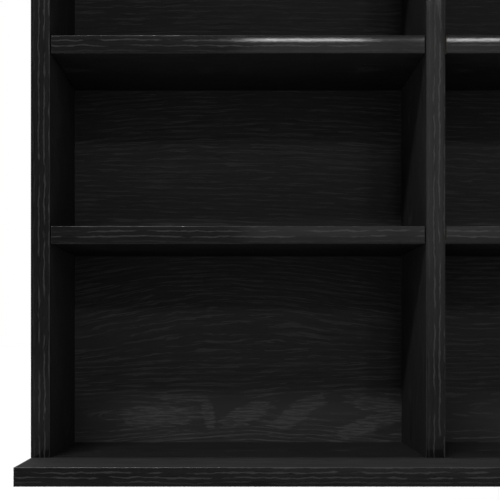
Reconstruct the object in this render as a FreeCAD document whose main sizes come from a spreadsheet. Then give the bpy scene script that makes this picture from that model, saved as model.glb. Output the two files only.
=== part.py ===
import FreeCAD, Part
import math
import os
import Sketcher

# A cd cabinet of black oak-look chipboard: four uprights on a base that projects at the front, a top
# that lies on them, thin back panels in grooves, and three columns of shelves. Each shelf slides onto
# two hidden wires, which lie in saw kerfs in its ends.
# X runs across the width, Y from front to rear and Z up. The origin is the middle of the underside.

COLUMNS = ("left", "middle", "right")
UPRIGHTS = ("left_side", "left_divider", "right_divider", "right_side")
SHELVES_PER_COLUMN = 4

# Every size that can be set by itself, in millimetres.
SIZES = {
    # the whole cabinet
    "cabinet_width": 1020,
    "cabinet_height": 895,
    "base_depth": 230,
    "body_depth": 158,  # uprights and top, with their front bands
    # boards and the bands glued to their edges
    "upright_thickness": 16,
    "base_thickness": 15,
    "top_thickness": 15,
    "shelf_thickness": 15,
    "band_thickness": 1,
    "band_round": 0.4,
    # clear heights of the rows; the top row takes what is left
    "bottom_row_height": 181,
    "middle_row_height": 146.5,
    # shelves
    "shelf_end_gap": 1,
    "shelf_setback": 1,
    "shelf_back_gap": 2,
    # back panels and the grooves that hold them
    "back_thickness": 3,
    "back_inset": 12,
    "groove_depth": 5,
    "groove_slack": 0.15,
    "tongue_gap": 0.5,
    # wires that carry the shelves
    "wire_diameter": 3,
    "wire_bend_radius": 4.5,
    "wire_standoff": 6,
    "wire_leg": 7,
    "wire_setback": 26,  # from the board's front to the middle of the front leg
    "wire_rear_inset": 21,  # from the middle of the rear leg to the back panel
    "wire_hole_clearance": 0.1,
    "kerf_clearance": 0.25,
    "kerf_stop_gap": 0.5,
    # fastener places, from the front and the rear face of an upright's board
    "fastener_front_inset": 30,
    "fastener_rear_inset": 32,
    "hole_end_gap": 0.5,
    # screws through the base into the uprights
    "base_screw_length": 50,
    "base_screw_head": 10,
    "base_screw_rim": 0.8,
    "base_screw_shank": 7,
    "base_screw_core": 5,
    "base_screw_recess": 0.5,
    "base_screw_hex": 4,
    "base_screw_hex_depth": 2.5,
    "screw_clearance": 0.1,
    # dowels
    "dowel_diameter": 8,
    "dowel_length": 30,
    "dowel_in_board": 10,
    "dowel_chamfer": 1,
    "dowel_clearance": 0.1,
    # cam bolts and cam locks
    "cam_distance": 34,
    "cam_diameter": 15,
    "cam_depth": 12.6,
    "cam_clearance": 0.15,
    "cam_slot_length": 8,
    "cam_slot_width": 1.6,
    "cam_slot_depth": 1.6,
    "bolt_thread": 6,
    "bolt_thread_length": 11,
    "bolt_neck": 4.5,
    "bolt_head": 7,
    "bolt_head_length": 3,
    "bolt_channel": 7.7,
    "bolt_hole": 8,
    # angle brackets to the wall, and their screws
    "bracket_leg": 25,
    "bracket_width": 20,
    "bracket_thickness": 2,
    "bracket_corner_round": 3,
    "bracket_bend_round": 0.8,
    "bracket_inset": 150,
    "wall_hole": 5.2,
    "wall_hole_height": 15,
    "bracket_screw_place": 15,
    "bracket_screw_head": 8,
    "bracket_screw_head_height": 2.4,
    "bracket_screw_head_round": 1.4,
    "bracket_screw_shank": 4,
    "bracket_screw_length": 10,
    "bracket_slot_length": 4.4,
    "bracket_slot_width": 1,
    "bracket_slot_depth": 1.5,
    # how far a cut runs past the face that it opens
    "overrun": 1,
}

# Lengths and places that follow from the sizes.
PLACES = {
    "rear": "Sizes.base_depth / 2",
    "body_front": "rear - Sizes.body_depth",
    "board_front": "body_front + Sizes.band_thickness",
    "board_depth": "Sizes.body_depth - Sizes.band_thickness",
    "base_step": "Sizes.base_depth - Sizes.body_depth",
    "upright_height": "Sizes.cabinet_height - Sizes.base_thickness - Sizes.top_thickness",
    "upright_pitch": f"(Sizes.cabinet_width - Sizes.upright_thickness) / {len(COLUMNS)}",
    "column_width": "upright_pitch - Sizes.upright_thickness",
    "top_underside": "Sizes.cabinet_height - Sizes.top_thickness",
    "panel_width": "Sizes.cabinet_width - 2 * Sizes.band_thickness",
    # back panels
    "groove_width": "Sizes.back_thickness + 2 * Sizes.groove_slack",
    "groove_from_rear": "Sizes.back_inset + Sizes.back_thickness + Sizes.groove_slack",
    "groove_run": "Sizes.cabinet_width - 2 * Sizes.upright_thickness + 2 * Sizes.groove_depth",
    "tongue": "Sizes.groove_depth - Sizes.tongue_gap",
    "back_front": "rear - Sizes.back_inset - Sizes.back_thickness",
    # shelves, and the wires in their ends
    "shelf_front": "body_front + Sizes.shelf_setback",
    "shelf_length": "column_width - 2 * Sizes.shelf_end_gap",
    "shelf_board_depth": "back_front - Sizes.shelf_back_gap - shelf_front - Sizes.band_thickness",
    "first_shelf": "Sizes.base_thickness + Sizes.bottom_row_height",
    "shelf_pitch": "Sizes.middle_row_height + Sizes.shelf_thickness",
    "wire_length": "back_front - board_front - Sizes.wire_setback - Sizes.wire_rear_inset",
    "kerf_height": "Sizes.wire_diameter + 2 * Sizes.kerf_clearance",
    "wire_outer_side": "Sizes.wire_standoff + Sizes.wire_diameter / 2",
    "kerf_depth": "wire_outer_side + Sizes.kerf_clearance - Sizes.shelf_end_gap",
    "wire_front_side": "Sizes.wire_setback - Sizes.wire_diameter / 2",
    "kerf_start": "wire_front_side - Sizes.shelf_setback - Sizes.kerf_stop_gap",
    # fasteners
    "fastener_span": "board_depth - Sizes.fastener_front_inset - Sizes.fastener_rear_inset",
    "dowel_place": "Sizes.fastener_front_inset + fastener_span / 2",
    "dowel_in_upright": "Sizes.dowel_length - Sizes.dowel_in_board",
    "screw_tip": "Sizes.base_screw_recess + Sizes.base_screw_length",
    "countersink_margin": "Sizes.base_screw_recess + Sizes.base_screw_rim + Sizes.screw_clearance",
    "countersink": "Sizes.base_screw_head + 2 * countersink_margin",
    "bracket_span": "Sizes.cabinet_width - 2 * Sizes.bracket_inset",
}

document = FreeCAD.newDocument("cd_cabinet")


def fill_sheet(name, cells):
    """A sheet with one named cell for each entry."""
    sheet = document.addObject("Spreadsheet::Sheet", name)
    for row, (alias, content) in enumerate(cells.items(), 1):
        sheet.set(f"A{row}", alias.replace("_", " "))
        sheet.set(f"B{row}", content)
        sheet.setAlias(f"B{row}", alias)
    document.recompute()
    return sheet


sizes = fill_sheet("Sizes", {alias: str(value) for alias, value in SIZES.items()})
fill_sheet("Places", {alias: "=" + formula for alias, formula in PLACES.items()})


def number(expression):
    """The present value of an expression of the sheets, for a sketch's first geometry."""
    return float(sizes.evalExpression(expression))


def upright_x(index):
    """Middle of an upright, counted from the left."""
    return f"({index} - {len(COLUMNS) / 2}) * Places.upright_pitch"


def column_x(index):
    """Middle of a column, counted from the left."""
    return f"({index} - {(len(COLUMNS) - 1) / 2}) * Places.upright_pitch"


def shelf_z(index):
    """Underside of a shelf, counted from the lowest."""
    return f"Places.first_shelf + {index} * Places.shelf_pitch"


# Sketches, features and placements

# how a sketch counts the points of its lines and arcs, and its own origin
START, END, CENTRE = range(1, 4)
ROOT = (-1, START)


def place(thing, x="0", y="0", z="0"):
    """Bind a sub-part's place to expressions."""
    for axis, expression in zip("xyz", (x, y, z)):
        thing.setExpression("Placement.Base." + axis, expression)
    return thing


def new_body(label):
    body = document.addObject("PartDesign::Body", label)
    body.Label = label
    return body


def origin_feature(body, role):
    return next(feature for feature in body.Origin.OriginFeatures if feature.Role == role)


def new_sketch(body, name, plane, offset="0"):
    """A sketch on one of the body's own origin planes, moved along that plane's normal."""
    sketch = body.newObject("Sketcher::SketchObject", name)
    sketch.AttachmentSupport = [(origin_feature(body, plane), "")]
    sketch.MapMode = "FlatFace"
    sketch.setExpression("AttachmentOffset.Base.z", offset)
    return sketch


def point(x, y):
    return FreeCAD.Vector(number(x), number(y), 0)


def constrain(sketch, kind, *geometry):
    return sketch.addConstraint(Sketcher.Constraint(kind, *geometry))


def dimension(sketch, kind, geometry, expression):
    index = constrain(sketch, kind, *geometry, number(expression))
    sketch.setExpression(f"Constraints[{index}]", expression)


def locate(sketch, geometry, end, x, y):
    """Fix a point of a sketch by its distances from the sketch's origin."""
    dimension(sketch, "DistanceX", (*ROOT, geometry, end), x)
    dimension(sketch, "DistanceY", (*ROOT, geometry, end), y)


def closed_lines(sketch, corners):
    ends = corners[1:] + corners[:1]
    lines = [sketch.addGeometry(Part.LineSegment(corner, end)) for corner, end in zip(corners, ends)]
    for line, following in zip(lines, lines[1:] + lines[:1]):
        constrain(sketch, "Coincident", line, END, following, START)
    return lines


def rectangle(sketch, x, y, width, height):
    """A rectangle from its low corner."""
    right, high = f"{x} + {width}", f"{y} + {height}"
    corners = [point(x, y), point(right, y), point(right, high), point(x, high)]
    lines = closed_lines(sketch, corners)
    for line, kind in zip(lines, ("Horizontal", "Vertical") * 2):
        constrain(sketch, kind, line)
    locate(sketch, lines[0], START, x, y)
    dimension(sketch, "DistanceX", (lines[0], START, lines[0], END), width)
    dimension(sketch, "DistanceY", (lines[1], START, lines[1], END), height)


def outline(sketch, points):
    """A closed outline of straight lines, each corner fixed by its own two distances."""
    lines = closed_lines(sketch, [point(x, y) for x, y in points])
    for line, (x, y) in zip(lines, points):
        locate(sketch, line, START, x, y)


def circle(sketch, x, y, diameter):
    ring = sketch.addGeometry(Part.Circle(point(x, y), FreeCAD.Vector(0, 0, 1), number(diameter) / 2))
    locate(sketch, ring, CENTRE, x, y)
    dimension(sketch, "Diameter", (ring,), diameter)


def pad(body, sketch, length):
    feature = body.newObject("PartDesign::Pad", "Pad")
    feature.Profile = sketch
    feature.setExpression("Length", length)
    document.recompute()
    return feature


def pocket(body, sketch, depth, forward=False):
    """Cut a sketch into the body, against the sketch plane's normal, or along it if forward."""
    volume = body.Shape.Volume
    feature = body.newObject("PartDesign::Pocket", "Pocket")
    feature.Profile = sketch
    feature.Reversed = forward
    feature.setExpression("Length", depth)
    document.recompute()
    if not body.Shape.Volume < volume:
        raise ValueError(f"the pocket of {sketch.Label} in {body.Label} cuts nothing")
    return feature


def turned(body, name, points):
    """A solid of revolution about the body's Z axis, from an outline of radius and height."""
    sketch = new_sketch(body, name, "XZ_Plane")
    outline(sketch, points)
    feature = body.newObject("PartDesign::Revolution", "Revolution")
    feature.Profile = sketch
    feature.ReferenceAxis = (sketch, ["V_Axis"])
    feature.Angle = 360
    document.recompute()
    return feature


def pattern(body, *rows, original=None):
    """Repeat the whole body, or one feature of it, along one or two axes.

    Each row has an axis, a total length and a count.
    """
    feature = body.newObject("PartDesign::LinearPattern", "LinearPattern")
    if original:
        feature.Originals = [original]
    else:
        feature.TransformMode = "Whole shape"
    for suffix, (axis, length, count) in zip(("", "2"), rows):
        setattr(feature, "Direction" + suffix, (origin_feature(body, axis), [""]))
        feature.setExpression("Length" + suffix, length)
        setattr(feature, "Occurrences" + suffix, count)
    body.Tip = feature
    document.recompute()


def mirror_body(body, plane):
    """Add the body's own mirror image in one of its origin planes."""
    feature = body.newObject("PartDesign::Mirrored", "Mirrored")
    feature.TransformMode = "Whole shape"
    feature.MirrorPlane = (origin_feature(body, plane), [""])
    body.Tip = feature
    document.recompute()


def edges_where(shape, test):
    """Names of the edges of a shape that pass a test."""
    return [f"Edge{index}" for index, edge in enumerate(shape.Edges, 1) if test(edge)]


def soften(body, kind, edges, size_name, size):
    """Round or chamfer edges of the body's last feature."""
    base = body.Tip
    feature = body.newObject("PartDesign::" + kind, kind)
    feature.Base = (base, edges)
    feature.setExpression(size_name, size)
    document.recompute()
    return feature


def cross_recess(body, plane, offset, centre, slot, forward=False):
    """Two crossed slots, cut from a plane: centre is a place on it, slot a length, width and depth."""
    length, width, depth = slot
    for along, across in ((length, width), (width, length)):
        sketch = new_sketch(body, "slot", plane, offset)
        x, y = (f"{middle} - {side} / 2" for middle, side in zip(centre, (along, across)))
        rectangle(sketch, x, y, along, across)
        pocket(body, sketch, depth, forward)


# Boards

NOTHING_SHARE = 0.01
NEARLY_ONE_SHARE = 0.99
UP_THE_SHELVES = ("Z_Axis", f"{SHELVES_PER_COLUMN - 1} * Places.shelf_pitch", SHELVES_PER_COLUMN)
FASTENER_PLACES = ("Sizes.fastener_front_inset", "Sizes.fastener_front_inset + Places.fastener_span")


def runs_along(edge, axis):
    """Whether a straight edge is parallel to the x, y or z axis."""
    return isinstance(edge.Curve, Part.Line) and abs(getattr(edge.Curve.Direction, axis)) > NEARLY_ONE_SHARE


def lies_at(value, expression):
    """Whether a coordinate has the value of an expression, to a small share of a band's thickness."""
    return abs(value - number(expression)) < number("Sizes.band_thickness") * NOTHING_SHARE


def front_band(label, length, height, rounded_ends=True):
    """A strip glued to a board's front edge, centred on X, with the arrises of its face rounded."""
    body = new_body(label)
    sketch = new_sketch(body, "strip", "XY_Plane")
    rectangle(sketch, f"-{length} / 2", "0", length, "Sizes.band_thickness")
    pad(body, sketch, height)
    arrises = edges_where(body.Shape, lambda edge: (
        lies_at(edge.CenterOfMass.y, "0") and (rounded_ends or runs_along(edge, "z"))))
    soften(body, "Fillet", arrises, "Radius", "Sizes.band_round")
    return body


def end_band(label, side, depth, height):
    """A strip glued to the left or right end of a board, with its outer face at X zero."""
    body = new_body(label)
    sketch = new_sketch(body, "strip", "XY_Plane")
    start = "0" if side == "left" else "-Sizes.band_thickness"
    rectangle(sketch, start, "0", "Sizes.band_thickness", depth)
    pad(body, sketch, height)
    arrises = edges_where(body.Shape, lambda edge: (
        lies_at(edge.CenterOfMass.x, "0") and runs_along(edge, "y")))
    soften(body, "Fillet", arrises, "Radius", "Sizes.band_round")
    return body


def upright(index):
    """A side panel or divider, from its foot, with its thickness about X zero and its front at Y zero."""
    name = UPRIGHTS[index]
    body = new_body(name + "_panel" if name.endswith("side") else name)
    sketch = new_sketch(body, "plan", "XY_Plane")
    rectangle(sketch, "-Sizes.upright_thickness / 2", "0", "Sizes.upright_thickness", "Places.board_depth")
    pad(body, sketch, "Places.upright_height")
    inner_faces = [face for face, open_side in ((-1, index > 0), (1, index < len(COLUMNS))) if open_side]
    for face in inner_faces:
        cut_upright_groove(body, face)
    cut_upright_foot(body)
    cut_upright_head(body, 1 if index < len(UPRIGHTS) / 2 else -1)
    for face in inner_faces:
        drill_wire_holes(body, face)
    return place(body, upright_x(index), "Places.board_front", "Sizes.base_thickness")


def cut_upright_groove(body, face):
    """The groove for a back panel, down the whole of one face."""
    sketch = new_sketch(body, "back_groove", "XY_Plane", "Places.upright_height")
    reach = "Sizes.groove_depth + Sizes.overrun"
    inner = "Sizes.upright_thickness / 2 - Sizes.groove_depth"
    start = inner if face > 0 else f"-({inner}) - ({reach})"
    rectangle(sketch, start, "Places.board_depth - Places.groove_from_rear", reach, "Places.groove_width")
    pocket(body, sketch, "Places.upright_height")


def cut_upright_foot(body):
    """Pilot holes for the base screws, and the dowel's hole between them."""
    pilots = new_sketch(body, "pilot_holes", "XY_Plane")
    for y in FASTENER_PLACES:
        circle(pilots, "0", y, "Sizes.base_screw_core + 2 * Sizes.screw_clearance")
    pocket(body, pilots, "Places.screw_tip - Sizes.base_thickness + Sizes.hole_end_gap", forward=True)
    dowel = new_sketch(body, "foot_dowel_hole", "XY_Plane")
    circle(dowel, "0", "Places.dowel_place", "Sizes.dowel_diameter + 2 * Sizes.dowel_clearance")
    pocket(body, dowel, "Places.dowel_in_upright + Sizes.hole_end_gap", forward=True)


def cut_upright_head(body, face):
    """Holes for the cam bolts and the dowel in the upper end, and the cam housings in one face."""
    bolts = new_sketch(body, "bolt_holes", "XY_Plane", "Places.upright_height")
    for y in FASTENER_PLACES:
        circle(bolts, "0", y, "Sizes.bolt_hole")
    pocket(body, bolts, "Sizes.cam_distance")
    dowel = new_sketch(body, "head_dowel_hole", "XY_Plane", "Places.upright_height")
    circle(dowel, "0", "Places.dowel_place", "Sizes.dowel_diameter + 2 * Sizes.dowel_clearance")
    pocket(body, dowel, "Places.dowel_in_upright + Sizes.hole_end_gap")
    cams = new_sketch(body, "cam_housings", "YZ_Plane", f"{face} * Sizes.upright_thickness / 2")
    for y in FASTENER_PLACES:
        circle(cams, y, "Places.upright_height - Sizes.cam_distance",
               "Sizes.cam_diameter + 2 * Sizes.cam_clearance")
    pocket(body, cams, "Sizes.cam_depth + Sizes.cam_clearance", forward=face < 0)


def drill_wire_holes(body, face):
    """Two blind holes for the legs of a wire behind each shelf's end, in one face."""
    sketch = new_sketch(body, "wire_holes", "YZ_Plane", f"{face} * Sizes.upright_thickness / 2")
    for y in ("Sizes.wire_setback", "Sizes.wire_setback + Places.wire_length"):
        circle(sketch, y, "Sizes.bottom_row_height + Sizes.shelf_thickness / 2",
               "Sizes.wire_diameter + 2 * Sizes.wire_hole_clearance")
    holes = pocket(body, sketch, "Sizes.wire_leg + Sizes.hole_end_gap", forward=face < 0)
    pattern(body, UP_THE_SHELVES, original=holes)


def upright_band(index):
    """The band on the front of an upright."""
    body = front_band(UPRIGHTS[index] + "_band", "Sizes.upright_thickness", "Places.upright_height",
                      rounded_ends=False)
    return place(body, upright_x(index), "Places.body_front", "Sizes.base_thickness")


def bands_of_board(name, depth, thickness, front, underside):
    """The bands on the front and the two ends of the base or the top."""
    front_strip = front_band(name + "_front_band", "Sizes.cabinet_width", thickness)
    strips = [place(front_strip, "0", front, underside)]
    for side, sign in (("left", -1), ("right", 1)):
        strip = end_band(f"{name}_{side}_band", side, depth, thickness)
        place(strip, f"{sign} * Sizes.cabinet_width / 2", f"{front} + Sizes.band_thickness", underside)
        strips.append(strip)
    return strips


def base_panel():
    """The base, from its front edge, with a step in front of the uprights."""
    body = new_body("base_panel")
    plan = new_sketch(body, "plan", "XY_Plane")
    depth = "Sizes.base_depth - Sizes.band_thickness"
    rectangle(plan, "-Places.panel_width / 2", "0", "Places.panel_width", depth)
    pad(body, plan, "Sizes.base_thickness")
    groove = new_sketch(body, "back_groove", "XY_Plane", "Sizes.base_thickness")
    rectangle(groove, "-Places.groove_run / 2", f"{depth} - Places.groove_from_rear", "Places.groove_run",
              "Places.groove_width")
    pocket(body, groove, "Sizes.groove_depth")
    dowels = new_sketch(body, "dowel_holes", "XY_Plane", "Sizes.base_thickness")
    for index in range(len(UPRIGHTS)):
        circle(dowels, upright_x(index), "Places.base_step + Places.dowel_place",
               "Sizes.dowel_diameter + 2 * Sizes.dowel_clearance")
    pocket(body, dowels, "Sizes.dowel_in_board + Sizes.hole_end_gap")
    drill_base_screw_holes(body)
    return place(body, "0", "-Places.rear + Sizes.band_thickness")


def drill_base_screw_holes(body):
    """Through holes, countersunk from below deep enough for the heads to lie under the surface."""
    centres = new_sketch(body, "screw_centres", "XY_Plane")
    for index in range(len(UPRIGHTS)):
        for y in FASTENER_PLACES:
            circle(centres, upright_x(index), f"Places.base_step + {y}", "Sizes.base_screw_shank")
    document.recompute()
    volume = body.Shape.Volume
    hole = body.newObject("PartDesign::Hole", "Hole")
    hole.Profile = centres
    document.recompute()
    hole.Reversed = True
    hole.DepthType = "ThroughAll"
    hole.HoleCutType = "Countersink"
    hole.setExpression("Diameter", "Sizes.base_screw_shank + 2 * Sizes.screw_clearance")
    hole.setExpression("HoleCutDiameter", "Places.countersink")
    hole.HoleCutCountersinkAngle = 90
    document.recompute()
    if not body.Shape.Volume < volume:
        raise ValueError("the base's screw holes cut nothing")


def top_panel():
    """The top, from its front edge, which lies on the uprights."""
    body = new_body("top_panel")
    plan = new_sketch(body, "plan", "XY_Plane")
    rectangle(plan, "-Places.panel_width / 2", "0", "Places.panel_width", "Places.board_depth")
    pad(body, plan, "Sizes.top_thickness")
    groove = new_sketch(body, "back_groove", "XY_Plane")
    rectangle(groove, "-Places.groove_run / 2", "Places.board_depth - Places.groove_from_rear",
              "Places.groove_run", "Places.groove_width")
    pocket(body, groove, "Sizes.groove_depth", forward=True)
    dowels = new_sketch(body, "dowel_holes", "XY_Plane")
    bolts = new_sketch(body, "bolt_holes", "XY_Plane")
    for index in range(len(UPRIGHTS)):
        circle(dowels, upright_x(index), "Places.dowel_place",
               "Sizes.dowel_diameter + 2 * Sizes.dowel_clearance")
        for y in FASTENER_PLACES:
            circle(bolts, upright_x(index), y, "Sizes.bolt_thread + 2 * Sizes.screw_clearance")
    pocket(body, dowels, "Sizes.dowel_in_board + Sizes.hole_end_gap", forward=True)
    pocket(body, bolts, "Sizes.bolt_thread_length + Sizes.hole_end_gap", forward=True)
    screws = new_sketch(body, "bracket_screw_holes", "XY_Plane", "Sizes.top_thickness")
    for sign in (-1, 1):
        circle(screws, f"{sign} * Places.bracket_span / 2",
               "Places.board_depth - Sizes.bracket_screw_place",
               "Sizes.bracket_screw_shank + 2 * Sizes.screw_clearance")
    pocket(body, screws, "Sizes.bracket_screw_length - Sizes.bracket_thickness + Sizes.hole_end_gap")
    return place(body, "0", "Places.board_front", "Places.top_underside")


def back_panel(index):
    """A thin back panel, whose four edges stand in the grooves round its column."""
    panel = document.addObject("Part::Box", COLUMNS[index] + "_back_panel")
    panel.Label = COLUMNS[index] + "_back_panel"
    panel.setExpression("Length", "Places.column_width + 2 * Places.tongue")
    panel.setExpression("Width", "Sizes.back_thickness")
    panel.setExpression("Height", "Places.upright_height + 2 * Places.tongue")
    return place(panel, f"{column_x(index)} - Places.column_width / 2 - Places.tongue", "Places.back_front",
                 "Sizes.base_thickness - Places.tongue")


def shelf(column, level):
    """A shelf board, centred on X with its front edge at Y zero, and a kerf for a wire in each end."""
    body = new_body(f"shelf_{COLUMNS[column]}_{level + 1}")
    plan = new_sketch(body, "plan", "XY_Plane")
    rectangle(plan, "-Places.shelf_length / 2", "0", "Places.shelf_length", "Places.shelf_board_depth")
    pad(body, plan, "Sizes.shelf_thickness")
    kerfs = new_sketch(body, "kerfs", "XY_Plane", "Sizes.shelf_thickness / 2 + Places.kerf_height / 2")
    reach = "Places.kerf_depth + Sizes.overrun"
    length = "Places.shelf_board_depth - Places.kerf_start + Sizes.overrun"
    for start in ("-Places.shelf_length / 2 - Sizes.overrun", "Places.shelf_length / 2 - Places.kerf_depth"):
        rectangle(kerfs, start, "Places.kerf_start", reach, length)
    pocket(body, kerfs, "Places.kerf_height")
    return place(body, column_x(column), "Places.shelf_front + Sizes.band_thickness", shelf_z(level))


def shelf_band(column, level):
    """The band on a shelf's front edge."""
    body = front_band(f"shelf_band_{COLUMNS[column]}_{level + 1}", "Places.shelf_length",
                      "Sizes.shelf_thickness")
    return place(body, column_x(column), "Places.shelf_front", shelf_z(level))


# Shelf wires

def wire_path(body):
    """A leg out of the upright's face, a bend, the long run along Y, and the same back."""
    sketch = new_sketch(body, "wire_path", "XY_Plane")
    face = "-Places.column_width / 2"
    leg_end, run_x = f"{face} - Sizes.wire_leg", f"{face} + Sizes.wire_standoff"
    front, rear = "Sizes.wire_setback", "Sizes.wire_setback + Places.wire_length"
    bend_x = f"{run_x} - Sizes.wire_bend_radius"
    up = FreeCAD.Vector(0, 0, 1)
    radius = number("Sizes.wire_bend_radius")

    def bend(y, first, last):
        return Part.ArcOfCircle(Part.Circle(point(bend_x, y), up, radius), first, last)

    first_bend, second_bend = f"{front} + Sizes.wire_bend_radius", f"{rear} - Sizes.wire_bend_radius"
    pieces = [Part.LineSegment(point(leg_end, front), point(bend_x, front)),
              bend(first_bend, -math.pi / 2, 0),
              Part.LineSegment(point(run_x, first_bend), point(run_x, second_bend)),
              bend(second_bend, 0, math.pi / 2),
              Part.LineSegment(point(bend_x, rear), point(leg_end, rear))]
    near_leg, near_bend, run, far_bend, far_leg = (sketch.addGeometry(piece) for piece in pieces)
    chain = (near_leg, near_bend, run, far_bend, far_leg)
    for piece, following in zip(chain, chain[1:]):
        constrain(sketch, "Tangent", piece, END, following, START)
    for kind, line in (("Horizontal", near_leg), ("Vertical", run), ("Horizontal", far_leg)):
        constrain(sketch, kind, line)
    constrain(sketch, "Equal", near_bend, far_bend)
    dimension(sketch, "Radius", (near_bend,), "Sizes.wire_bend_radius")
    locate(sketch, near_leg, START, leg_end, front)
    locate(sketch, far_leg, END, leg_end, rear)
    dimension(sketch, "DistanceX", (*ROOT, run, START), run_x)
    return sketch, leg_end, front


def shelf_wires(column):
    """The bent wires of a column's shelves: two to a shelf, one in each upright's face."""
    body = new_body(f"shelf_wires_{COLUMNS[column]}")
    path, leg_end, front = wire_path(body)
    section = new_sketch(body, "wire_section", "YZ_Plane", leg_end)
    circle(section, front, "0", "Sizes.wire_diameter")
    document.recompute()
    pipe = body.newObject("PartDesign::AdditivePipe", "AdditivePipe")
    pipe.Profile = section
    pipe.Spine = (path, [])
    document.recompute()
    mirror_body(body, "YZ_Plane")
    pattern(body, UP_THE_SHELVES)
    return place(body, column_x(column), "Places.board_front", f"{shelf_z(0)} + Sizes.shelf_thickness / 2")


# Fasteners

ALONG_UPRIGHTS = ("X_Axis", f"{len(COLUMNS)} * Places.upright_pitch", len(UPRIGHTS))
ALONG_DEPTH = ("Y_Axis", "Places.fastener_span", len(FASTENER_PLACES))


def base_screws():
    """Long screws with flat heads under the base, a thick shank through it and a core in the upright."""
    body = new_body("base_screws")
    head, shank, core = (f"Sizes.base_screw_{part} / 2" for part in ("head", "shank", "core"))
    recess = "Sizes.base_screw_recess"
    turned(body, "screw_profile", [
        ("0", recess),
        (head, recess),
        (head, f"{recess} + Sizes.base_screw_rim"),
        (shank, f"{recess} + Sizes.base_screw_rim + {head} - {shank}"),
        (shank, "Sizes.base_thickness"),
        (core, "Sizes.base_thickness"),
        (core, f"Places.screw_tip - {core}"),
        ("0", "Places.screw_tip"),
    ])
    socket = new_sketch(body, "hexagon", "XY_Plane", recess)
    corner_radius = "Sizes.base_screw_hex / sqrt(3)"
    outline(socket, [(f"{corner_radius} * cos({angle} deg)", f"{corner_radius} * sin({angle} deg)")
                     for angle in range(0, 360, 60)])
    pocket(body, socket, "Sizes.base_screw_hex_depth", forward=True)
    pattern(body, ALONG_UPRIGHTS, ALONG_DEPTH)
    return place(body, upright_x(0), "Places.board_front + Sizes.fastener_front_inset")


def dowels(label, underside):
    """A wooden dowel with chamfered ends for each upright."""
    body = new_body(label)
    section = new_sketch(body, "dowel_section", "XY_Plane")
    circle(section, "0", "0", "Sizes.dowel_diameter")
    dowel = pad(body, section, "Sizes.dowel_length")
    rims = edges_where(dowel.Shape, lambda edge: isinstance(edge.Curve, Part.Circle))
    soften(body, "Chamfer", rims, "Size", "Sizes.dowel_chamfer")
    pattern(body, ALONG_UPRIGHTS)
    return place(body, upright_x(0), "Places.board_front + Places.dowel_place", underside)


def cam_bolts():
    """Bolts that screw up into the top and hang down to the cams, with a head at the lower end."""
    body = new_body("cam_bolts")
    thread, neck, head = (f"Sizes.bolt_{part} / 2" for part in ("thread", "neck", "head"))
    head_top = "-Sizes.cam_distance + Sizes.bolt_head_length / 2"
    head_end = "-Sizes.cam_distance - Sizes.bolt_head_length / 2"
    turned(body, "bolt_profile", [
        ("0", head_end),
        (neck, head_end),
        (head, f"{head_end} + {head} - {neck}"),
        (head, head_top),
        (neck, head_top),
        (neck, "0"),
        (thread, "0"),
        (thread, f"Sizes.bolt_thread_length + {neck} - {thread}"),
        (neck, "Sizes.bolt_thread_length"),
        ("0", "Sizes.bolt_thread_length"),
    ])
    pattern(body, ALONG_UPRIGHTS, ALONG_DEPTH)
    return place(body, upright_x(0), "Places.board_front + Sizes.fastener_front_inset",
                 "Places.top_underside")


def cam_locks():
    """Round cams flush with the uprights' faces, each with a channel for a bolt and a cross slot."""
    body = new_body("cam_locks")
    face = f"{upright_x(0)} + Sizes.upright_thickness / 2"
    disc = new_sketch(body, "cam_disc", "YZ_Plane", f"{face} - Sizes.cam_depth")
    circle(disc, "0", "0", "Sizes.cam_diameter")
    pad(body, disc, "Sizes.cam_depth")
    channel = new_sketch(body, "bolt_channel", "XY_Plane", "-Sizes.bolt_head / 2")
    circle(channel, upright_x(0), "0", "Sizes.bolt_channel")
    pocket(body, channel, "Sizes.bolt_head / 2 + Sizes.cam_diameter", forward=True)
    slot = ("Sizes.cam_slot_length", "Sizes.cam_slot_width", "Sizes.cam_slot_depth")
    cross_recess(body, "YZ_Plane", face, ("0", "0"), slot)
    pattern(body, ("X_Axis", "Places.upright_pitch", len(UPRIGHTS) // 2), ALONG_DEPTH)
    mirror_body(body, "YZ_Plane")
    return place(body, "0", "Places.board_front + Sizes.fastener_front_inset",
                 "Places.top_underside - Sizes.cam_distance")


# Wall brackets

def wall_bracket(side, sign):
    """A steel angle on the top's rear edge, from its bend: one leg forward, one up against the wall."""
    body = new_body(side + "_wall_bracket")
    leg, sheet = "Sizes.bracket_leg", "Sizes.bracket_thickness"
    profile = new_sketch(body, "angle", "YZ_Plane", "-Sizes.bracket_width / 2")
    outline(profile, [("0", "0"), ("0", leg), (f"-{sheet}", leg), (f"-{sheet}", sheet), (f"-{leg}", sheet),
                      (f"-{leg}", "0")])
    pad(body, profile, "Sizes.bracket_width")
    corners = edges_where(body.Shape, lambda edge: lies_at(edge.Length, sheet))
    soften(body, "Fillet", corners, "Radius", "Sizes.bracket_corner_round")
    for bend_y, bend_z, radius in (("0", "0", f"Sizes.bracket_bend_round + {sheet}"),
                                   (f"-{sheet}", sheet, "Sizes.bracket_bend_round")):
        bend = edges_where(body.Shape, lambda edge: (
            runs_along(edge, "x") and lies_at(edge.CenterOfMass.y, bend_y)
            and lies_at(edge.CenterOfMass.z, bend_z)))
        soften(body, "Fillet", bend, "Radius", radius)
    wall = new_sketch(body, "wall_hole", "XZ_Plane")
    circle(wall, "0", "Sizes.wall_hole_height", "Sizes.wall_hole")
    pocket(body, wall, sheet, forward=True)
    screw = new_sketch(body, "screw_hole", "XY_Plane", sheet)
    circle(screw, "0", "-Sizes.bracket_screw_place", "Sizes.bracket_screw_shank + 2 * Sizes.screw_clearance")
    pocket(body, screw, sheet)
    return place(body, f"{sign} * Places.bracket_span / 2", "Places.rear", "Sizes.cabinet_height")


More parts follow.
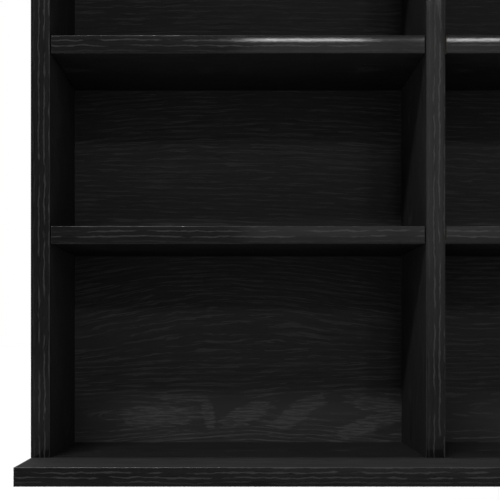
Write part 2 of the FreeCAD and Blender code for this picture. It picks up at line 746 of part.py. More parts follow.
def bracket_screws():
    """Pan-head screws with a cross recess, through the brackets' lower legs into the top."""
    body = new_body("bracket_screws")
    head, shank = (f"Sizes.bracket_screw_{part} / 2" for part in ("head", "shank"))
    depth = "Sizes.bracket_screw_length - Sizes.bracket_thickness"
    seat, crown = "Sizes.bracket_thickness", "Sizes.bracket_thickness + Sizes.bracket_screw_head_height"
    turned(body, "screw_profile", [
        ("0", f"-({depth})"),
        (shank, f"{shank} - ({depth})"),
        (shank, seat),
        (head, seat),
        (head, crown),
        ("0", crown),
    ])
    rim = edges_where(body.Shape, lambda edge: (
        isinstance(edge.Curve, Part.Circle) and lies_at(edge.CenterOfMass.z, crown)))
    soften(body, "Fillet", rim, "Radius", "Sizes.bracket_screw_head_round")
    slot = ("Sizes.bracket_slot_length", "Sizes.bracket_slot_width", "Sizes.bracket_slot_depth")
    cross_recess(body, "XY_Plane", crown, ("0", "0"), slot)
    pattern(body, ("X_Axis", "Places.bracket_span", 2))
    return place(body, "-Places.bracket_span / 2", "Places.rear - Sizes.bracket_screw_place",
                 "Sizes.cabinet_height")


# The whole cabinet

def make_parts():
    """Every sub-part in its place, boards first."""
    base_front = "-Places.rear"
    parts = [base_panel(), top_panel()]
    parts += bands_of_board("base", "Sizes.base_depth - Sizes.band_thickness", "Sizes.base_thickness",
                            base_front, "0")
    parts += bands_of_board("top", "Places.board_depth", "Sizes.top_thickness", "Places.body_front",
                            "Places.top_underside")
    for index in range(len(UPRIGHTS)):
        parts += [upright(index), upright_band(index)]
    for column in range(len(COLUMNS)):
        parts += [back_panel(column), shelf_wires(column)]
        for level in range(SHELVES_PER_COLUMN):
            parts += [shelf(column, level), shelf_band(column, level)]
    parts += [base_screws(), cam_bolts(), cam_locks()]
    parts += [dowels("base_dowels", "Sizes.base_thickness - Sizes.dowel_in_board"),
              dowels("top_dowels", "Places.top_underside - Places.dowel_in_upright")]
    parts += [wall_bracket("left", -1), wall_bracket("right", 1), bracket_screws()]
    return parts


def check(parts):
    """Stop if any object failed, or any sub-part has no sound shape."""
    for thing in document.Objects:
        if {"Invalid", "Error"} & set(thing.State):
            raise ValueError(f"{thing.Label} failed: {thing.State}")
    for part in parts:
        if part.Shape.isNull() or not part.Shape.isValid():
            raise ValueError(f"{part.Label} has no valid shape")


def write(parts):
    os.makedirs("parts", exist_ok=True)
    for part in parts:
        part.Shape.exportStep(f"parts/{part.Label}.step")


cabinet = make_parts()
document.recompute()
check(cabinet)
write(cabinet)
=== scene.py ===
import math

import bpy
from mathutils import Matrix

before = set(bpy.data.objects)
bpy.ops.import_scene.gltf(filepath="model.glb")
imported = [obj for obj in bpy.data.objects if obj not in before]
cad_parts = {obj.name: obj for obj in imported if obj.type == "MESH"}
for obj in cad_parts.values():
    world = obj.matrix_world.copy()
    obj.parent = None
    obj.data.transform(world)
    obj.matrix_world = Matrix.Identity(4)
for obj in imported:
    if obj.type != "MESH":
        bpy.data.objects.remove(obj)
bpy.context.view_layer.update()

# The cabinet's pieces, by the names that the frame gives them.
COLUMNS = ("left", "middle", "right")
UPRIGHTS = ("left_side", "left_divider", "right_divider", "right_side")
UPRIGHT_BOARDS = ("left_side_panel", "left_divider", "right_divider", "right_side_panel")
SHELVES = [f"{column}_{level}" for column in COLUMNS for level in range(1, 5)]

# How far apart the banded boards of a kind are, and the middle of one of them. Lengths are in metres.
MM = 0.001
UPRIGHT_PITCH = 334.665 * MM
UPRIGHT_MIDDLE = UPRIGHT_PITCH / 2
SHELF_PITCH = 161.5 * MM
SHELF_MIDDLE = 203.5 * MM
BASE_TO_TOP = 880 * MM
BASE_MIDDLE = 7.5 * MM

# Colours of raw board and bare metal, and of worn edging, whose pale grey is also a painted highlight.
FLAKE_DARK = (0.22, 0.145, 0.085)
FLAKE_LIGHT = (0.50, 0.37, 0.235)
FIBRE_DARK = (0.105, 0.058, 0.032)
FIBRE_LIGHT = (0.23, 0.142, 0.082)
BEECH_LIGHT = (0.56, 0.37, 0.215)
BEECH_FLECK = (0.34, 0.19, 0.10)
ZINC_LIGHT = (0.62, 0.63, 0.65)
ZINC_DARK = (0.38, 0.39, 0.41)
DIE_CAST_LIGHT = (0.46, 0.465, 0.475)
DIE_CAST_DARK = (0.25, 0.255, 0.265)
STEEL_LIGHT = (0.55, 0.55, 0.56)
STEEL_DARK = (0.30, 0.30, 0.31)
# The worn edging's grey, made paler also as a painted highlight on the arrises.
WORN_AND_HIGHLIT_OAK = (0.0320, 0.0320, 0.0320)
WHITE = (1.0, 1.0, 1.0)

# The black oak print's three greys: the plain ground, the dark streaks and the light dashes.
BACK_OAK = (0.0170, 0.0110, 0.0360)
# Lying and standing boards carry the same foil; their greys differ only as painted light and shade.
LYING_OAK_PAINTED_DARKER = (0.0112, 0.0060, 0.0195)
STANDING_OAK_PAINTED_LIGHTER = (0.0215, 0.0130, 0.0350)
BAND_OAK = (0.0056, 0.0024, 0.0215)

# The foil's roughness, from its smoothest places to its dullest, and each finish's constants.
FOIL_ROUGHNESS = (0.46, 0.58)
LYING_ROUGHNESS = (0.76, 0.88)
OAK_GLOSS = {"Specular_IOR_Level": 0.06}
BAND_GLOSS = {"Specular_IOR_Level": 0.03, "Coat_Weight": 0.20, "Coat_Roughness": 0.09}
BASE_GLOSS = {**BAND_GLOSS, "Coat_Weight": 0.12, "Coat_Roughness": 0.24}
METAL = {"Metallic": 1.0}

# The growth rings on each kind of board: how far apart they are, how deep the pith lies and how far
# that swings, and how far the rings wander across. The heart is where they are counted from.
BACK_RINGS = {"spacing": 5.0 * MM, "pith": 12 * MM, "swing": 24 * MM, "wander": 16 * MM}
LYING_RINGS = {"spacing": 5.2 * MM, "pith": 30 * MM, "swing": 50 * MM, "wander": 50 * MM}
STANDING_RINGS = {"spacing": 5.6 * MM, "pith": 30 * MM, "swing": 50 * MM, "wander": 50 * MM}
BACK_HEART = 41 * MM
LYING_HEART = 20 * MM
STANDING_HEART = 50 * MM

# The backs' rings rise into arches above the heart line, which grow flatter from CALM_BELOW up to
# CALM_ABOVE.
ARCH_CENTRE = 345 * MM
ARCH_PERIOD = 460 * MM
ARCH_FOOT = 75 * MM
ARCH_HEIGHT = 190 * MM
ARCH_RISE = 24 * MM
CALM_BELOW = 190 * MM
CALM_ABOVE = 280 * MM

# The flames, which return every FLAME_ROUND along the backs: each one's centre across and up, half
# its length, half its height, its lean and its tilt. They lie in a plain strip, whose middle is
# STRIP_ABOVE_HEART above the heart line, and which fades from STRIP_INSIDE to STRIP_OUTSIDE.
FLAME_ROUND = 460 * MM
FLAMES = (
    (-413 * MM, 41 * MM, 42 * MM, 11 * MM, 0.0, 0.02),
    (-389 * MM, 59 * MM, 28 * MM, 4 * MM, 0.0, -0.04),
    (-364 * MM, 43 * MM, 6 * MM, 15 * MM, -0.2, 0.0),
    (-325 * MM, 43 * MM, 17 * MM, 15 * MM, 1.3, 0.0),
    (-278 * MM, 44 * MM, 15 * MM, 18 * MM, 1.2, 0.0),
    (-262 * MM, 51 * MM, 15 * MM, 5 * MM, 0.0, 0.1),
    (-206 * MM, 33 * MM, 36 * MM, 8 * MM, 0.0, 0.28),
    (-202 * MM, 53 * MM, 30 * MM, 7 * MM, 0.0, -0.10),
)
STRIP_ABOVE_HEART = 3 * MM
STRIP_INSIDE = 14 * MM
STRIP_OUTSIDE = 21 * MM

# Edging: the step between its printed lines, where one lies from the strip's middle, the crown's
# curvature and how far its top lies above the middle, and the painted shade at the uprights' foot.
LINE_STEP = 4.5 * MM
BASE_LINE_STEP = 4.0 * MM
LYING_LINE = 3.5 * MM
STANDING_LINE = 3.4 * MM
BAND_CROWN = 10.0
CROWN_RISE = -0.3 * MM
BASE_CROWN_RISE = -4.0 * MM
# The painted shade at the uprights' foot: full below the first height, gone above the second.
FOOT_SHADE_FULL_BELOW = 29 * MM
FOOT_SHADE_ENDS_ABOVE = 33 * MM

# A level camera, square to the front; its shift alone brings the lower left part into the frame.
CAMERA_PLACE = (-0.3338, -0.9776, 0.1139)
CAMERA_LENS = 79.56
CAMERA_SENSOR = 36.0
CAMERA_SHIFT = (0.022, 0.1816)
CAMERA_REACH = (0.01, 200.0)

# The lamps in front of the bay that the picture shows: each one's name, its distance, the slopes of
# its left and right edges and of its lower and upper ones as seen from the bay, and its power.
BAY = (-0.30, -0.043, 0.28)
SOFTBOXES = (
    ("low_window_left", 20.0, (0.008, 0.120), (0.340, 0.386), 410.0),
    ("low_window_right", 20.0, (0.195, 0.275), (0.340, 0.386), 295.0),
    ("white_panel", 5.0, (0.0, 0.38), (-0.05, 0.30), 9.6),
    ("pale_panel_left", 4.9, (0.0, 0.155), (0.05, 0.30), 2.0),
    ("pale_panel_right", 4.9, (0.192, 0.34), (0.05, 0.30), 2.0),
    ("high_softbox", 5.0, (-0.60, -0.06), (0.87, 1.05), 500.0),
)
STRIP_PLACE = (-0.70, -0.043, 3.0)
STRIP_SIZE = (0.40, 0.08)
STRIP_POWER = 84.0

# Turns about X, in degrees, of a lamp or camera that faces the floor or the cabinet.
TO_FLOOR = 0.0
TO_CABINET = 90.0

# The room's level in front and behind, and the floor: its half width, how far it lies under the
# cabinet, its grey, and the lift that the camera sees on it, near the cabinet and far from it.
ROOM_LEVEL = 0.31
ROOM_BEHIND = 0.70
FLOOR_REACH = 30.0
FLOOR_DROP = 0.1 * MM
FLOOR_GREY = (0.43, 0.43, 0.43)
NEAR_FLOOR = 0.7
FAR_FLOOR = 3.6
NEAR_LIFT = 0.33
FAR_LIFT = 0.80

# A Mix node's sockets for its first value, its second and its result, by the kind of value.
MIX_SOCKETS = {"RGBA": (6, 7, 2), "VECTOR": (4, 5, 1)}


class Measure:
    """A number that changes over a surface, held as a node's output; + - * / add math nodes."""

    def __init__(self, tree, socket):
        self.tree = tree
        self.socket = socket

    def math(self, operation, *others):
        """Run this number, and any others, through one math node."""
        return add(self.tree, "ShaderNodeMath", self, *others, operation=operation)

    def __add__(self, other):
        return self.math("ADD", other)

    def __sub__(self, other):
        return self.math("SUBTRACT", other)

    def __mul__(self, other):
        return self.math("MULTIPLY", other)

    def __truediv__(self, other):
        return self.math("DIVIDE", other)

    def ramp(self, low, high):
        """0 at low, 1 at high, and a smooth step between them; low may be the larger."""
        return add(self.tree, "ShaderNodeMapRange", self, low, high, interpolation_type="SMOOTHSTEP")

    def over(self, to_low, to_high):
        """The number from 0 to 1 spread over to_low to to_high."""
        return self * (to_high - to_low) + to_low


def add(tree, kind, *values, output=0, **settings):
    """Add a node, set it up, feed its sockets in their order, and return one of its outputs."""
    made = tree.nodes.new(kind)
    for name, value in settings.items():
        setattr(made, name, value)
    for socket, value in zip(made.inputs, values):
        if value is not None:
            feed(tree, socket, value)
    return Measure(tree, made.outputs[output])


def feed(tree, socket, value):
    """Link a Measure to the socket, or write a plain number or colour there."""
    if isinstance(value, Measure):
        tree.links.new(value.socket, socket)
    elif isinstance(value, tuple) and socket.type == "RGBA":
        socket.default_value = (*value, 1.0)
    else:
        socket.default_value = value


def places(tree):
    """X, Y and Z of the point on the piece, in metres, as three Measures."""
    point = add(tree, "ShaderNodeTexCoord", output="Object")
    return [add(tree, "ShaderNodeSeparateXYZ", point, output=axis) for axis in range(3)]


def outward(tree, axis):
    """How far the surface's outward direction points along an axis of the piece, from -1 to 1."""
    normal = add(tree, "ShaderNodeTexCoord", output="Normal")
    return add(tree, "ShaderNodeSeparateXYZ", normal, output=axis)


def facing(tree, axis):
    """How squarely the surface faces along an axis of the piece, either way, from 0 to 1."""
    return outward(tree, axis).math("ABSOLUTE")


def noise(tree, place, rates, detail=2.0, roughness=0.5):
    """Smooth noise from 0 to 1; rates are its waves in a metre along the three axes of place."""
    scaled = [axis * rate for axis, rate in zip(place, rates)]
    point = add(tree, "ShaderNodeCombineXYZ", *scaled)
    return add(tree, "ShaderNodeTexNoise", point, None, 1.0, detail, roughness)


def blend(tree, share, first, second, kind="RGBA"):
    """first where share is 0 and second where it is 1: two colours, or two normals as a VECTOR."""
    first_socket, second_socket, result = MIX_SOCKETS[kind]
    made = tree.nodes.new("ShaderNodeMix")
    made.data_type = kind
    feed(tree, made.inputs[0], share)
    feed(tree, made.inputs[first_socket], first)
    feed(tree, made.inputs[second_socket], second)
    return Measure(tree, made.outputs[result])


def relief(tree, height):
    """The surface's normal over a height in metres."""
    made = tree.nodes.new("ShaderNodeBump")
    made.inputs["Distance"].default_value = 1.0
    feed(tree, made.inputs["Height"], height)
    return Measure(tree, made.outputs[0])


def laid_over(tree, share, under, upper):
    """Two surfaces as one: under where share is 0, and upper where it is 1.

    A surface is its colour, roughness and normal."""
    colour = blend(tree, share, under[0], upper[0])
    rough = under[1] + share * (upper[1] - under[1])
    return colour, rough, blend(tree, share, under[2], upper[2], kind="VECTOR")


def finish(name, build, **plain):
    """A material whose build(tree) gives its colour, roughness and normal, and plain its constants."""
    material = bpy.data.materials.new(name)
    material.use_nodes = True
    tree = material.node_tree
    tree.nodes.clear()
    shader = tree.nodes.new("ShaderNodeBsdfPrincipled")
    output = tree.nodes.new("ShaderNodeOutputMaterial")
    tree.links.new(shader.outputs[0], output.inputs["Surface"])
    colour, rough, normal = build(tree)
    feed(tree, shader.inputs["Base Color"], colour)
    feed(tree, shader.inputs["Roughness"], rough)
    feed(tree, shader.inputs["Normal"], normal)
    feed(tree, shader.inputs["Coat Normal"], normal)
    for socket, value in plain.items():
        shader.inputs[socket.replace("_", " ")].default_value = value
    return material


def oak_rings(tree, place, reach, spacing, pith, swing, wander):
    """Growth rings, counted as the root of reach squared plus depth squared, over spacing.

    reach is the distance across from the heart, and gets a slow wander here; depth swings about pith."""
    drift = noise(tree, place, (2.6, 6.0, 6.0), detail=1.0) - 0.5
    ripple = noise(tree, place, (20.0, 45.0, 45.0), detail=3.0, roughness=0.6) - 0.5
    reach = reach + drift * wander + ripple * (6.0 * MM)
    depth = (noise(tree, place, (7.5, 3.0, 3.0), detail=1.0) - 0.5) * swing + pith
    return (reach * reach + depth * depth).math("SQRT") / spacing


def oak_figure(tree, place, ring):
    """How far the oak print is lightened and darkened, each from 0 to 1.

    Each growth ring has a soft light band, which comes and goes along it, with thin bright dashes
    and thin dark streaks that follow the ring; both are sparse in the plain patches. ring counts
    the rings, so the marks are laid out in that count."""
    along, across, deep = place
    follow = (along, ring, deep)
    within = ring.math("FRACT")
    early = within.ramp(0.22, 0.50) * within.ramp(1.0, 0.74)
    strong = noise(tree, follow, (15.0, 0.9, 5.0), detail=2.0).ramp(0.42, 0.62)
    dash = noise(tree, follow, (34.0, 4.4, 20.0), detail=2.0, roughness=0.6).ramp(0.53, 0.59)
    streak = noise(tree, follow, (30.0, 4.0, 31.0), detail=3.0, roughness=0.6).ramp(0.54, 0.66)
    plain = noise(tree, place, (6.0, 15.0, 15.0), detail=2.0).ramp(0.60, 0.38)
    light = early * strong.over(0.04, 0.30) + dash * early.over(0.20, 1.40)
    return light * plain.over(1.30, 0.55), streak * early.over(0.90, 0.25) * plain.over(1.0, 0.6)


def oak_colour(tree, place, figure, greys):
    """Black oak print in three greys: the plain ground, the dark streaks and the light dashes."""
    light, dark = figure
    ground, low, high = [(grey, grey, grey) for grey in greys]
    cloud = noise(tree, place, (7.0, 26.0, 26.0), detail=3.0).ramp(0.66, 0.34)
    shade = (cloud * 0.35 + dark).math("MINIMUM", 1.0)
    return blend(tree, light.math("MINIMUM", 1.0), blend(tree, shade, ground, low), high)


def oak_face(tree, place, figure, greys, roughness=FOIL_ROUGHNESS):
    """Colour, roughness and normal of the embossed black oak foil."""
    sheen = noise(tree, place, (30.0, 160.0, 160.0), detail=2.0)
    light, dark = figure
    rough = light * 0.10 + sheen.over(*roughness)
    height = light * (-0.05 * MM) + sheen * (0.03 * MM)
    return oak_colour(tree, place, figure, greys), rough, relief(tree, height)


def chipboard(tree):
    """Raw chipboard where a board was cut: pressed flakes of several sizes, with small pits between."""
    place = places(tree)
    flakes = noise(tree, place, (260.0, 260.0, 420.0), detail=4.0, roughness=0.7)
    grit = noise(tree, place, (900.0, 900.0, 900.0), detail=2.0, roughness=0.6)
    share = flakes.ramp(0.36, 0.66) * 0.7 + grit.ramp(0.4, 0.7) * 0.3
    height = flakes * (0.5 * MM) + grit * (0.15 * MM)
    return blend(tree, share, FLAKE_DARK, FLAKE_LIGHT), flakes.over(0.78, 0.95), relief(tree, height)


def cut_board(tree, printed, face_axis):
    """The oak foil on the two faces square to face_axis, and raw chipboard on sawn edges and in holes."""
    foil = facing(tree, face_axis).ramp(0.72, 0.80)
    return laid_over(tree, foil, chipboard(tree), printed)


def lying_board(tree):
    """Shelves, base and top: the oak runs from side to side, and its rings count from front to back."""
    x, y, z = places(tree)
    place = (x, y, z)
    ring = oak_rings(tree, place, y - LYING_HEART, **LYING_RINGS)
    # The lying boards' greys are painted darker, as painted shade.
    printed = oak_face(tree, place, oak_figure(tree, place, ring), LYING_OAK_PAINTED_DARKER, LYING_ROUGHNESS)
    return cut_board(tree, printed, 2)


def standing_board(tree):
    """Sides and dividers: the oak runs up the board."""
    x, y, z = places(tree)
    place = (z, y, x)
    ring = oak_rings(tree, place, y - STANDING_HEART, **STANDING_RINGS)
    # The standing boards' greys are painted lighter, as painted light.
    return cut_board(tree, oak_face(tree, place, oak_figure(tree, place, ring), STANDING_OAK_PAINTED_LIGHTER), 0)


def flames(tree, x, z):
    """Bright patches where the saw ran along the heart, and the plain strip they lie in, 0 to 1.

    Each patch is an ellipse, leaned and tilted, with its rim frayed by noise."""
    place = (x, z, z)
    fray = noise(tree, place, (55.0, 420.0, 0.0), detail=3.0, roughness=0.6) - 0.5
    bend = (noise(tree, place, (16.0, 30.0, 0.0), detail=1.0) - 0.5) * (8 * MM)
    bright = None
    for centre, height, half_length, half_height, lean, tilt in FLAMES:
        aside = (x - centre).math("WRAP", FLAME_ROUND / 2, -FLAME_ROUND / 2)
        up = z - height - aside * tilt + bend
        along = (aside - up * lean) / half_length
        far = along.math("POWER", 2.0) + (up / half_height).math("POWER", 2.0)
        patch = (far + fray * 4.4).ramp(1.25, 0.7)
        bright = patch if bright is None else bright.math("MAXIMUM", patch)
    strip = (z - BACK_HEART - STRIP_ABOVE_HEART + bend).math("ABSOLUTE") + fray * (12 * MM)
    return bright, strip.ramp(STRIP_OUTSIDE, STRIP_INSIDE)


def back_figure(tree, x, z):
    """The print across the back: arching rings above the heart line, and flames along it."""
    place = (x, z, z)
    swell = ((x + ARCH_CENTRE) * (2 * math.pi / ARCH_PERIOD)).math("COSINE").over(0.5, 1.0)
    stage = ((z - ARCH_FOOT) * (2 * math.pi / ARCH_HEIGHT)).math("COSINE").over(0.5, 0.0)
    crowd = noise(tree, place, (1.2, 7.0, 0.0), detail=0.0) - 0.5
    steep = z.ramp(CALM_ABOVE, CALM_BELOW).over(0.35, 1.0)
    reach = z - BACK_HEART - swell * stage * steep * ARCH_RISE + crowd * (40 * MM)
    ring = oak_rings(tree, place, reach, **BACK_RINGS)
    light, dark = oak_figure(tree, place, ring)
    flame, strip = flames(tree, x, z)
    fleck = noise(tree, place, (60.0, 700.0, 0.0), detail=3.0, roughness=0.65).ramp(0.42, 0.62)
    calm = noise(tree, place, (9.0, 30.0, 0.0), detail=1.0).ramp(0.38, 0.58)
    clear = strip * calm.over(-0.50, -0.95) + 1.0
    return light * clear + flame * fleck.over(0.20, 1.08), dark * clear


def hardboard(tree):
    """The backs' bare rear and edges: brown fibre, pressed on a fine screen."""
    place = places(tree)
    fibre = noise(tree, place, (420.0, 420.0, 420.0), detail=4.0, roughness=0.7)
    screen = add(tree, "ShaderNodeTexVoronoi", add(tree, "ShaderNodeCombineXYZ", *place), None, 620.0)
    colour = blend(tree, fibre.ramp(0.35, 0.65), FIBRE_DARK, FIBRE_LIGHT)
    height = fibre * (0.25 * MM) + screen * (0.12 * MM)
    return colour, fibre.over(0.62, 0.80), relief(tree, height)


def back_panel(tree):
    """Thin hardboard: the oak print lies across its front, and the rest is bare."""
    x, y, z = places(tree)
    printed = oak_face(tree, (x, z, y), back_figure(tree, x, z), BACK_OAK)
    front = (outward(tree, 1) * -1.0).ramp(0.5, 0.8)
    return laid_over(tree, front, hardboard(tree), printed)


def edge_band(tree, place, middle, pitch, first, step=LINE_STEP, rise=CROWN_RISE, shade=0.0, face=1):
    """A strip of oak edging: wavy light lines one step apart along it, and a slight crown across it.

    The distance across is taken from the nearest of the strips' middles, which lie one pitch apart, and
    first is where a line lies on it. The crown's slope grows evenly from its top, which lies rise above
    the middle, to the edges. Handling has worn the arrises, which turn away from the axis face, a little
    paler and smooth, and their paler grey is also a painted highlight. shade is painted shade that
    darkens the ground."""
    along, across, deep = place
    local = (across - middle).math("WRAP", pitch / 2, -pitch / 2)
    wave = (noise(tree, place, (13.0, 3.0, 3.0), detail=2.0) - 0.5) * (3.6 * MM)
    kink = (noise(tree, place, (110.0, 130.0, 130.0), detail=2.0) - 0.5) * (3.0 * MM)
    from_line = (local - first + wave + kink).math("WRAP", step / 2, -step / 2).math("ABSOLUTE")
    jitter = noise(tree, place, (160.0, 90.0, 90.0), detail=2.0).over(-0.1 * MM, 1.2 * MM)
    faint = local.ramp(-5.0 * MM, -3.0 * MM).over(0.3, 1.0)
    line = (jitter - from_line).ramp(-0.30 * MM, 0.20 * MM) * faint
    breaks = noise(tree, place, (40.0, 160.0, 160.0), detail=2.0).ramp(0.40, 0.50)
    fine = noise(tree, place, (150.0, 900.0, 900.0), detail=3.0, roughness=0.65)
    light = line * breaks * fine.over(0.25, 1.6)
    beside = (from_line - 1.1 * MM).math("ABSOLUTE").ramp(0.6 * MM, 0.1 * MM)
    grainy = noise(tree, place, (20.0, 420.0, 420.0), detail=2.0).ramp(0.50, 0.70)
    streak = grainy + beside * fine.ramp(0.45, 0.6)
    sheen = noise(tree, place, (24.0, 210.0, 210.0), detail=2.0)
    crown = (local - rise).math("POWER", 2.0) * (-BAND_CROWN / 2)
    square = facing(tree, face)
    grain = light * (-0.004 * MM) + (sheen - 0.5) * (0.005 * MM) + (fine - 0.5) * (0.003 * MM)
    height = crown + grain * square.ramp(0.98, 0.999)
    rough = light * 0.08 + sheen.over(0.28, 0.36)
    # shade brings the painted shade into the dark streaks.
    colour = oak_colour(tree, place, (light, streak * 0.6 + shade), BAND_OAK)
    # The arrises' paler grey is wear and a painted highlight together.
    worn_and_highlit = square.ramp(0.97, 0.80) * sheen.over(0.7, 1.1)
    return blend(tree, worn_and_highlit.math("MINIMUM", 1.0), colour, WORN_AND_HIGHLIT_OAK), rough, relief(tree, height)


def shelf_band(tree):
    """The edging along the fronts of the shelves."""
    x, y, z = places(tree)
    return edge_band(tree, (x, z, y), SHELF_MIDDLE, SHELF_PITCH, LYING_LINE)


def base_band(tree):
    """The edging along the fronts of base and top, with lines a little closer."""
    x, y, z = places(tree)
    return edge_band(tree, (x, z, y), BASE_MIDDLE, BASE_TO_TOP, LYING_LINE,
                     step=BASE_LINE_STEP, rise=BASE_CROWN_RISE)


def board_end_band(tree):
    """The edging on the ends of base and top, which face left and right."""
    x, y, z = places(tree)
    return edge_band(tree, (y, z, x), BASE_MIDDLE, BASE_TO_TOP, STANDING_LINE, face=0)


def upright_band(tree):
    """The edging up the fronts of the uprights, with painted shade darkening its foot by the base."""
    x, y, z = places(tree)
    # Painted shade: the edging's ground darkens towards the foot, where the upright meets the base.
    painted_foot_shade = z.ramp(FOOT_SHADE_ENDS_ABOVE, FOOT_SHADE_FULL_BELOW)
    return edge_band(tree, (z, x, y), UPRIGHT_MIDDLE, UPRIGHT_PITCH, STANDING_LINE, rise=0.0, shade=painted_foot_shade)


def metal(tree, light, dark, low_rough, high_rough, rates, pit):
    """Bare metal: two close greys in a slow pattern, fine scratches or pits, and uneven gloss."""
    place = places(tree)
    patch = noise(tree, place, rates, detail=4.0, roughness=0.6)
    fine = noise(tree, place, [rate * 6 for rate in rates], detail=2.0)
    colour = blend(tree, patch.ramp(0.35, 0.68), dark, light)
    return colour, fine.over(low_rough, high_rough), relief(tree, fine * pit + patch * pit)


def drawn_wire(tree):
    """Steel wire, with die marks that run round its bends as faint rings and streaks."""
    return metal(tree, STEEL_LIGHT, STEEL_DARK, 0.22, 0.42, (900.0, 120.0, 900.0), 0.01 * MM)


def zinc_plate(tree):
    """Bright zinc on steel, with a fine grain that is longer up and down."""
    return metal(tree, ZINC_LIGHT, ZINC_DARK, 0.24, 0.46, (520.0, 520.0, 260.0), 0.012 * MM)


def die_casting(tree):
    """Dull grey cast zinc, evenly pitted."""
    return metal(tree, DIE_CAST_LIGHT, DIE_CAST_DARK, 0.38, 0.62, (700.0, 700.0, 700.0), 0.03 * MM)


def galvanised(tree):
    """Galvanised sheet: crystals of zinc a few millimetres wide, each a little lighter or darker."""
    place = places(tree)
    point = add(tree, "ShaderNodeCombineXYZ", *place)
    crystal = add(tree, "ShaderNodeTexVoronoi", point, None, 240.0, output="Color")
    tone = add(tree, "ShaderNodeSeparateColor", crystal)
    fine = noise(tree, place, (1500.0, 1500.0, 1500.0), detail=2.0)
    colour = blend(tree, tone * 0.7 + fine * 0.3, ZINC_DARK, ZINC_LIGHT)
    return colour, tone.over(0.30, 0.52), relief(tree, fine * (0.012 * MM))


def beech(tree):
    """Turned beech: short dark flecks in a warm pale wood, with the flutes' soft shade."""
    x, y, z = places(tree)
    place = (z, x, y)
    fleck = noise(tree, place, (180.0, 1400.0, 1400.0), detail=2.0)
    cloud = noise(tree, place, (40.0, 260.0, 260.0), detail=3.0)
    share = fleck.ramp(0.58, 0.70) * 0.7 + cloud.ramp(0.4, 0.8) * 0.3
    colour = blend(tree, share, BEECH_LIGHT, BEECH_FLECK)
    return colour, cloud.over(0.55, 0.72), relief(tree, fleck * (-0.02 * MM))


# Every finish: its name, what builds it, its constants, and the nodes that get it.
FINISHES = (
    ("black_oak_lying_board", lying_board, OAK_GLOSS,
     ["base_panel", "top_panel"] + [f"shelf_{shelf}" for shelf in SHELVES]),
    ("black_oak_standing_board", standing_board, OAK_GLOSS, UPRIGHT_BOARDS),
    ("black_oak_back_panel", back_panel, OAK_GLOSS, [f"{column}_back_panel" for column in COLUMNS]),
    ("black_oak_shelf_band", shelf_band, BAND_GLOSS, [f"shelf_band_{shelf}" for shelf in SHELVES]),
    ("black_oak_upright_band", upright_band, BAND_GLOSS, [f"{upright}_band" for upright in UPRIGHTS]),
    ("black_oak_base_band", base_band, BASE_GLOSS, ["base_front_band", "top_front_band"]),
    ("black_oak_board_end_band", board_end_band, BASE_GLOSS,
     [f"{board}_{end}_band" for board in ("base", "top") for end in ("left", "right")]),
    ("drawn_steel_wire", drawn_wire, METAL, [f"shelf_wires_{column}" for column in COLUMNS]),
    ("zinc_plated_screw", zinc_plate, METAL, ["base_screws", "cam_bolts", "bracket_screws"]),
    ("die_cast_cam", die_casting, METAL, ["cam_locks"]),
    ("galvanised_bracket", galvanised, METAL, ["left_wall_bracket", "right_wall_bracket"]),
    ("beech_dowel", beech, {}, ["base_dowels", "top_dowels"]),
)


def dress(material, nodes):
    """Give the material to the CAD nodes."""
    for name in nodes:
        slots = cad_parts[name].data.materials
        slots.clear()
        slots.append(material)


def seen_rays(tree):
    """1 for the rays that see the background: straight from the camera, or through glass."""
    camera = add(tree, "ShaderNodeLightPath", output="Is Camera Ray")
    through = add(tree, "ShaderNodeLightPath", output="Is Transmission Ray")
    return camera.math("MAXIMUM", through)


def white_floor():
    """A pale floor that keeps the shadow; what the camera sees of it is lifted to white.

    Far from the cabinet, where less of the lamps' light lands, the lift is larger."""
    sides = ((-1, -1), (1, -1), (1, 1), (-1, 1))
    corners = [(x * FLOOR_REACH, y * FLOOR_REACH, -FLOOR_DROP) for x, y in sides]
    mesh = bpy.data.meshes.new("white_floor")
    mesh.from_pydata(corners, [], [(0, 1, 2, 3)])
    floor = bpy.data.objects.new("white_floor", mesh)
    bpy.context.scene.collection.objects.link(floor)
    material = bpy.data.materials.new("white_paper_floor")
    material.use_nodes = True
    tree = material.node_tree
    tree.nodes.clear()
    paper = add(tree, "ShaderNodeBsdfDiffuse", FLOOR_GREY)
    x, y, z = places(tree)
    away = (x * x + y * y).math("SQRT").ramp(NEAR_FLOOR, FAR_FLOOR)
    glow = add(tree, "ShaderNodeEmission", WHITE, seen_rays(tree) * away.over(NEAR_LIFT, FAR_LIFT))
    output = tree.nodes.new("ShaderNodeOutputMaterial")
    feed(tree, output.inputs["Surface"], add(tree, "ShaderNodeAddShader", paper, glow))
    mesh.materials.append(material)


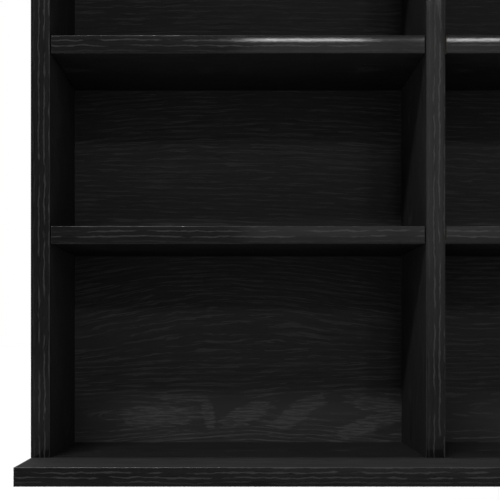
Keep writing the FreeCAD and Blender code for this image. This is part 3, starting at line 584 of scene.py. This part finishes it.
def studio_world():
    """A dim room in front of the cabinet and a pale backdrop behind it, which the camera sees white.

    Gloss sees the backdrop white too, on the half behind the cabinet."""
    world = bpy.data.worlds.new("studio")
    bpy.context.scene.world = world
    world.use_nodes = True
    tree = world.node_tree
    tree.nodes.clear()
    direction = add(tree, "ShaderNodeTexCoord", output="Generated")
    behind = add(tree, "ShaderNodeSeparateXYZ", direction, output=1).ramp(0.0, 0.6)
    room = add(tree, "ShaderNodeBackground", WHITE, behind.over(ROOM_LEVEL, ROOM_BEHIND))
    backdrop = add(tree, "ShaderNodeBackground", WHITE, 1.0)
    glossy = add(tree, "ShaderNodeLightPath", output="Is Glossy Ray")
    share = seen_rays(tree).math("MAXIMUM", glossy * behind)
    output = tree.nodes.new("ShaderNodeOutputWorld")
    feed(tree, output.inputs["Surface"], add(tree, "ShaderNodeMixShader", share, room, backdrop))


def lamp(name, place, size, power, turn):
    """A flat rectangular lamp at place, turned by degrees about X from facing the floor."""
    light = bpy.data.lights.new(name, "AREA")
    light.shape = "RECTANGLE"
    light.size, light.size_y = size
    light.energy = power
    holder = bpy.data.objects.new(name, light)
    bpy.context.scene.collection.objects.link(holder)
    holder.location = place
    holder.rotation_euler = (math.radians(turn), 0.0, 0.0)


def softbox(name, distance, across, up, power):
    """A lamp in front that faces the cabinet; across and up are the slopes of its edges from the bay."""
    middle = [BAY[0] + sum(across) / 2 * distance, BAY[1] - distance, BAY[2] + sum(up) / 2 * distance]
    size = ((across[1] - across[0]) * distance, (up[1] - up[0]) * distance)
    lamp(name, middle, size, power, TO_CABINET)


def photo_camera():
    """The camera at the photograph's place."""
    camera = bpy.data.cameras.new("camera")
    camera.sensor_width = CAMERA_SENSOR
    camera.lens = CAMERA_LENS
    camera.shift_x, camera.shift_y = CAMERA_SHIFT
    camera.clip_start, camera.clip_end = CAMERA_REACH
    holder = bpy.data.objects.new("camera", camera)
    bpy.context.scene.collection.objects.link(holder)
    holder.location = CAMERA_PLACE
    holder.rotation_euler = (math.radians(TO_CABINET), 0.0, 0.0)
    bpy.context.scene.camera = holder


for title, maker, constants, pieces in FINISHES:
    dress(finish(title, maker, **constants), pieces)
photo_camera()
white_floor()
studio_world()
for box in SOFTBOXES:
    softbox(*box)
lamp("top_strip", STRIP_PLACE, STRIP_SIZE, STRIP_POWER, TO_FLOOR)
bpy.context.scene.view_settings.view_transform = "Standard"
